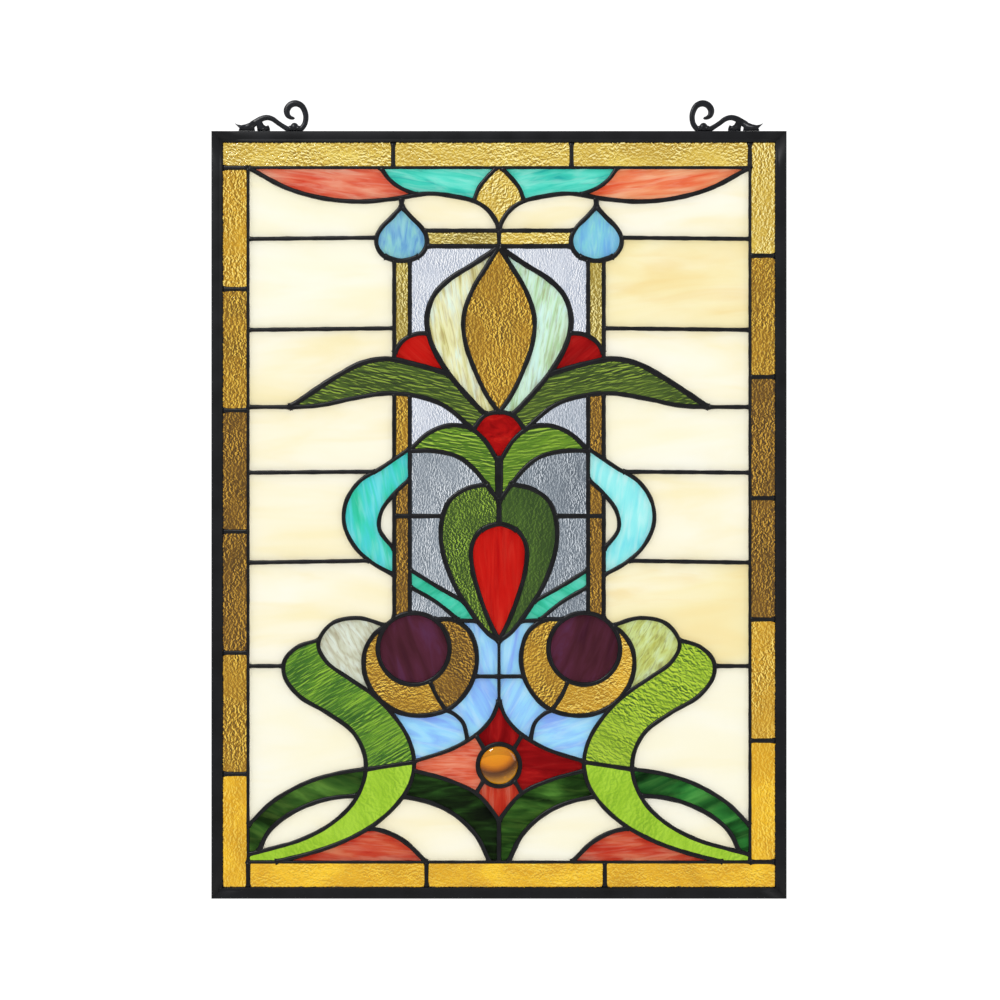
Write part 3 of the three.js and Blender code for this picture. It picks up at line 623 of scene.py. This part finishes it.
# The colour is painted light, as the dome bends it: a painted glow at its upper left, painted shade in a
# dark streak that bends across its lower third, and past it the glass is pale again
jewel_middle = foot + (jewel_up + field_foot) / 1000
reach = add_node(tree, "VectorMath", {0: place, 1: (-0.004, 0, jewel_middle + 0.014)},
                 operation="DISTANCE").outputs["Value"]
share = add_node(tree, "MapRange", {"Value": reach, "From Min": 0.004, "From Max": 0.03})
colour = add_node(tree, "ValToRGB", {"Fac": share.outputs[0]},
                  stops=[(0.0, "ec9c0e"), (0.4, "e08806"), (0.53, "ac5e06"), (0.63, "562c04"),
                         (0.72, "6e4006"), (0.88, "b87c0c"), (1.0, "c88c10")]).outputs[0]
body = add_node(tree, "BsdfPrincipled", {"Base Color": colour, "Roughness": 0.02, "IOR": 1.5,
                                         "Specular IOR Level": 0.35, "Transmission Weight": 0.85}).outputs[0]
add_node(tree, "OutputMaterial", {"Surface": body})
add_piece("jewel", points + (0, 0, jewel_up + field_foot), faces, ["amber_jewel"],
          [material])

# Solder
# Tin-lead solder run over the foil of every seam on both faces. It draws itself up into a round bead,
# pools in the corners where seams meet, and is blackened with patina, so it has a bluish sheen.
crown_height, back_height = 1.12, 0.7  # in front, and its share behind
slit = 0.05  # between the solder and a pane's edge
lip_side, lip_foot, lip_head = 219.35, 9.15, 600.85  # of the rails, where the border's seams end


def bead(width, path, closed, seed):
    """A bead along a path. Its section has a half ellipse on each face, lower on the back by the share
    back_height, joined by the narrower solder between the panes' edges. Its width and crown waver by
    slow sines, and in its last 4 mm it widens by the square of the nearness."""
    random = np.random.default_rng(seed)
    out = square_to(path, closed)
    gaps = np.linalg.norm(np.diff(path, axis=0), axis=1)
    along = np.concatenate([[0], np.cumsum(gaps)])
    length = along[-1] + (np.linalg.norm(path[0] - path[-1]) if closed else 0)
    phase = 2 * np.pi * along / length
    waves = np.maximum(np.round(length / np.array([37, 19, 11])), 1)
    wander = (np.sin(phase[:, None] * waves + random.uniform(0, 6.3, 3)) * (0.5, 0.3, 0.3)).sum(axis=1)
    swell = (np.sin(phase[:, None] * waves + random.uniform(0, 6.3, 3)) * (0.4, 0.4, 0.3)).sum(axis=1)
    near = np.zeros(len(path)) if closed else np.clip(1 - np.minimum(along, along[-1] - along) / 4, 0, 1)
    half = width / 2 * (1 + 0.09 * wander + 0.55 * near**2)
    crown = crown_height * (1 + 0.07 * swell)
    front, back = np.linspace(np.pi, 0, 7), np.linspace(0, np.pi, 5)
    sideways = np.concatenate([np.cos(front), [0, 0], np.cos(back), [0, 0]])
    rise = np.concatenate([-np.sin(front), [0, 0], np.sin(back), [0, 0]])
    base = glass_half * np.repeat([-1, 1, -1], [8, 7, 1])
    heart = np.repeat([0, 1, 0, -1], [7, 2, 5, 2])
    offset = half[:, None] * sideways + (width / 2 - foil - slit) * heart
    x = path[:, :1] + out[:, :1] * offset
    z = path[:, 1:] + out[:, 1:] * offset
    y = base + crown[:, None] * rise * np.where(rise > 0, back_height, 1)
    return np.stack([x, y, z], axis=2).reshape(-1, 3), ring_faces(len(path), len(heart), closed)


points, faces = [], []
count = 0
for number, (width, path, closed) in enumerate(lines):
    inside = (np.abs(path[:, 0]) < lip_side) & (path[:, 1] > lip_foot) & (path[:, 1] < lip_head)
    if not inside.all():
        end = np.clip(path[~inside][:1], (-lip_side, lip_foot), (lip_side, lip_head))
        path = np.vstack([path[inside], end])
    bead_points, bead_faces = bead(width, path, closed, number)
    faces += [[corner + count for corner in face] for face in bead_faces]
    points.append(bead_points)
    count += len(bead_points)


def blackened(name, colours, patches, detail, rough, grains, strength, depth, shine):
    """A metal under black patina. Its colour and its gloss follow soft patches, and a finer grain lies
    in its skin: patches and grains are their counts to the metre, and depth is the grain's in metres."""
    material, tree = new_material(name)
    place = add_node(tree, "TexCoord").outputs["Object"]
    cloud = add_node(tree, "TexNoise", {"Vector": place, "Scale": patches, "Detail": detail}).outputs[0]
    grain = add_node(tree, "TexNoise", {"Vector": place, "Scale": grains, "Detail": 2.0}).outputs[0]
    colour = add_node(tree, "ValToRGB", {"Fac": cloud}, stops=[*zip((0.3, 0.7), colours)]).outputs[0]
    gloss = add_node(tree, "MapRange", {"Value": cloud, "From Min": 0.3, "From Max": 0.7, "To Min": rough[0],
                                        "To Max": rough[1]}).outputs[0]
    normal = add_node(tree, "Bump", {"Strength": strength, "Distance": depth, "Height": grain}).outputs[0]
    body = add_node(tree, "BsdfPrincipled", {"Base Color": colour, "Roughness": gloss,
                                             "Specular IOR Level": shine, "Normal": normal}).outputs[0]
    add_node(tree, "OutputMaterial", {"Surface": body})
    return material


# Solder under patina: a bluish black with a soft gloss, in patches of 11 mm and a grain of 1.1 mm
patina = blackened("patinated_solder", ("060608", "101116"), patches=90.0, detail=4.0, rough=(0.28, 0.45),
                   grains=900.0, strength=0.25, depth=0.0003, shine=0.27)
add_piece("solder_lines", np.vstack(points), faces, ["solder_network"], [patina])

# Frame
# Four rails of rolled zinc channel, mitred at the corners and blackened. Each grips the border's glass in
# its groove, and its two lips are rolled round.
def arc(middle, radius, start, end, count=5):
    """Points of an arc round middle, from one angle to the other in degrees."""
    turn = np.radians(np.linspace(start, end, count))
    return np.stack([middle[0] + radius * np.cos(turn), middle[1] + radius * np.sin(turn)], axis=1)


# The channel's section, [inwards, back]: its outer corner, the front lip with a shallow crease before its
# rolled edge, and the groove's inside; the back half mirrors the front
crease = [(5.2, -3.2), (6.1, -3.05), (6.6, -2.95), (7.2, -3.1)]
section = np.vstack([arc((0.9, -2.3), 0.9, 180, 270), crease, arc((8.35, -2.55), 0.65, 270, 450, 7),
                     [(6.6, -2.0)], arc((1.7, -1.5), 0.5, 270, 180, 3)])
section = np.vstack([section, section[::-1] * (1, -1)])
# Rolled zinc under patina: satin and almost even, in patches of 25 mm and a grain of 1.4 mm
zinc = blackened("blackened_zinc", ("0b0c0e", "16171b"), patches=40.0, detail=5.0, rough=(0.34, 0.5),
                 grains=700.0, strength=0.12, depth=0.0003, shine=0.22)
panel_width, panel_height, mitre_slit, rings_of_rail = 457, 610, 0.02, 25
half_width, half_height = panel_width / 2, panel_height / 2
for label, middle, way, length in (("bottom", (0, 0), (1, 0), panel_width),
                                   ("right", (half_width, half_height), (0, 1), panel_height),
                                   ("top", (0, panel_height), (-1, 0), panel_width),
                                   ("left", (-half_width, half_height), (0, -1), panel_height)):
    inwards = (-way[1], way[0])
    stations = np.linspace(-1, 1, rings_of_rail)[:, None] * (length / 2 - mitre_slit - section[:, 0])
    x, z = (middle[i] + way[i] * stations + inwards[i] * section[:, 0] for i in (0, 1))
    points = np.stack([x, np.broadcast_to(section[:, 1], x.shape), z], axis=2).reshape(-1, 3)
    faces = ring_faces(rings_of_rail, len(section), flipped=True)
    add_piece(f"rail_{label}", points, faces, [f"frame_rail_{label}"], [zinc])

# Hanging scrolls
# Two castings in a soft metal, soldered on the top rail and blackened with it. In each a curl makes the
# eye for the chain, and an arch runs on into a fishtail leaf, with a bud under it and three beads.
half_depth = 2.15
seat, scroll_out = 0.3, 161  # the scroll's foot over the rail's top, and its curl from the panel's middle
# Bands as [outwards, up, width] and flat castings as [outwards, up], from the middle of the curl's foot
curl = [(-1, 0, 3.6), (-3.6, 2, 4), (-6.5, 6, 4), (-7.4, 11, 4.1), (-6.7, 15.5, 4.3), (-4, 20.3, 4.5),
        (0.5, 22.3, 4.8), (5, 21, 4.9), (7.7, 17, 4.9), (7, 12.8, 4), (4.3, 10.8, 2.8), (1.3, 10.4, 1.6)]
arch = [(4, 0, 4), (7, 1.8, 4), (11, 4.2, 3.6), (15, 6.9, 3.6), (19, 9.8, 3.8), (23.5, 11, 4), (28, 9.9, 4.4),
        (32, 7.4, 5), (36.5, 4.8, 5)]
tail = [(31.5, 5.2), (33.4, 3.0), (33.1, 0.4), (45.5, 0.4), (46.3, 0.8), (45.5, 2.4), (47, 4), (49.2, 6.3),
        (46.5, 5.5), (44, 5.1), (40.5, 5.8), (37.5, 7), (34, 8.4)]
bud = [(21.4, 0.4), (21.8, 2.2), (22.4, 4.2), (24.2, 3.4), (26.2, 4.6), (28.4, 8.5), (31.5, 6.5), (31.1, 4),
       (30.7, 2), (31, 0.4)]


def cast_band(points):
    """A band along points of [outwards, up, width]. Its section is a rounded oblong, worked out from a
    cosine and a sine that are each raised to 0.7, and both ends close in a round nose 1.2 mm long."""
    run = smooth(points, 0.9)
    out = square_to(run[:, :2])
    along = np.concatenate([[0], np.cumsum(np.linalg.norm(np.diff(run[:, :2], axis=0), axis=1))])
    edge = np.minimum(along, along[-1] - along)
    nose = np.sqrt(1 - (1 - np.clip(edge / 1.2, 0.02, 1)) ** 2)
    turn = np.linspace(0, 2 * np.pi, 16, endpoint=False)
    sideways = np.sign(np.cos(turn)) * np.abs(np.cos(turn)) ** 0.7
    rise = np.sign(np.sin(turn)) * np.abs(np.sin(turn)) ** 0.7
    offset = (run[:, 2] * 0.54 * nose)[:, None] * sideways
    points = np.stack([run[:, :1] + out[:, :1] * offset, (half_depth * nose)[:, None] * rise,
                       run[:, 1:2] + out[:, 1:] * offset], axis=2).reshape(-1, 3)
    return points, ring_faces(len(run), len(turn), flipped=True)


def cast_leaf(outline):
    """A flat casting over an outline that runs anticlockwise. Its edge is rounded in six steps: it draws
    in by one minus a cosine, while its depth follows the sine a little and the sine's cube most."""
    line = np.array(outline, float)
    out = -square_to(line, True)
    turn = np.linspace(-np.pi / 2, np.pi / 2, 7)
    inset = 0.55 * (1 - np.cos(turn))
    depth = 2.0 * np.sin(turn) ** 3 + 0.15 * np.sin(turn)
    points = np.stack([line[:, 0] - out[:, 0] * inset[:, None], np.repeat(depth[:, None], len(line), 1),
                       line[:, 1] - out[:, 1] * inset[:, None]], axis=2).reshape(-1, 3)
    return points, ring_faces(len(turn), len(line))


# Three beads at the curl's foot: one profile, a little fuller than a circle, each with its own size
turn = np.linspace(-np.pi / 2, np.pi / 2, 11)
profile = np.stack([2.5 * np.cos(turn) ** 0.7, 2.8 * np.sin(turn)], axis=1)[::-1].tolist()
parts = [cast_band(curl), cast_band(arch), cast_leaf(tail), cast_leaf(bud)]
for outwards, rise, size in ((-1.4, 2.2, 1.0), (1.7, 3.2, (1.35, 0.98, 1.5)), (4.9, 2.2, 1.0)):
    points, faces = turned(profile, 24)
    parts.append((points * size + (outwards, 0, rise), faces))
points = np.vstack([part[0] for part in parts])
points[:, 2] = np.maximum(points[:, 2], seat)
starts = np.cumsum([0] + [len(part[0]) for part in parts])
faces = [[corner + start for corner in face]
         for (_, part_faces), start in zip(parts, starts) for face in part_faces]
# Cast metal under patina: glossier and bluer than the rails, in patches of 6 mm and a grain of 0.8 mm
casting = blackened("blackened_casting", ("08090d", "14171f"), patches=160.0, detail=4.0, rough=(0.34, 0.34),
                    grains=1200.0, strength=0.3, depth=0.0002, shine=0.3)
for label, way in (("left", -1), ("right", 1)):
    placed = points * (way, 1, 1) + (way * scroll_out, 0, panel_height)
    turned_faces = faces if way > 0 else [face[::-1] for face in faces]
    add_piece(f"scroll_{label}", placed, turned_faces, [f"hanging_scroll_{label}"],
              [casting])

# Studio
# The panel hangs before a bright white sweep, which lights the glass from behind. A dimmer, soft light in
# front shows the beads and the frame, and a pale floor lies well below it.
world = bpy.data.worlds.new("white_sweep")
world.use_nodes = True
tree = world.node_tree
tree.nodes.clear()
way = add_node(tree, "TexCoord").outputs["Generated"]
split = add_node(tree, "SeparateXYZ", {0: way}).outputs
# The sweep is full white behind the panel and half as bright in front, and brighter overhead
behind = add_node(tree, "MapRange", {"Value": split[1], "From Min": -0.3, "From Max": 0.3, "To Min": 0.5,
                                     "To Max": 1.14}).outputs[0]
overhead = add_node(tree, "MapRange", {"Value": split[2], "From Min": 0.3, "From Max": 0.7, "To Min": 1.0,
                                       "To Max": 1.14}).outputs[0]
strength = add_node(tree, "Math", {0: behind, 1: overhead}, operation="MULTIPLY").outputs[0]
sweep = add_node(tree, "Background", {"Color": (1, 1, 1, 1), "Strength": strength}).outputs[0]
add_node(tree, "OutputWorld", {"Surface": sweep})
scene.world = world
aim = Vector((0, 0, -0.32))
for name, place, size, power in (("key", (-0.7, -1.1, 0.75), 0.35, 14), ("fill", (1.4, -1.2, 0.1), 0.8, 4)):
    data = bpy.data.lights.new(name, "AREA")
    data.size = size
    data.energy = power
    lamp = bpy.data.objects.new(name, data)
    lamp.location = place
    lamp.rotation_euler = (aim - Vector(place)).to_track_quat("-Z", "Y").to_euler()
    scene.collection.objects.link(lamp)
floor_radius, floor_level, floor_sides = 3.6, -1.55, 96
turn = np.linspace(0, 2 * np.pi, floor_sides, endpoint=False)
points = np.stack([floor_radius * np.cos(turn), floor_radius * np.sin(turn),
                   np.full(floor_sides, floor_level)], axis=1)
mesh = bpy.data.meshes.new("floor")
mesh.from_pydata(points.tolist(), [], [[*range(floor_sides)]])
material, tree = new_material("pale_floor")
place = add_node(tree, "TexCoord").outputs["Object"]
cloud = add_node(tree, "TexNoise", {"Vector": place, "Scale": 3.0}).outputs[0]
colour = add_node(tree, "ValToRGB", {"Fac": cloud}, stops=[(0.3, "e6e4e0"), (0.7, "eeece8")]).outputs[0]
body = add_node(tree, "BsdfPrincipled", {"Base Color": colour, "Roughness": 0.8}).outputs[0]
add_node(tree, "OutputMaterial", {"Surface": body})
mesh.materials.append(material)
floor = bpy.data.objects.new("floor", mesh)
scene.collection.objects.link(floor)
scene.view_settings.view_transform = "Standard"
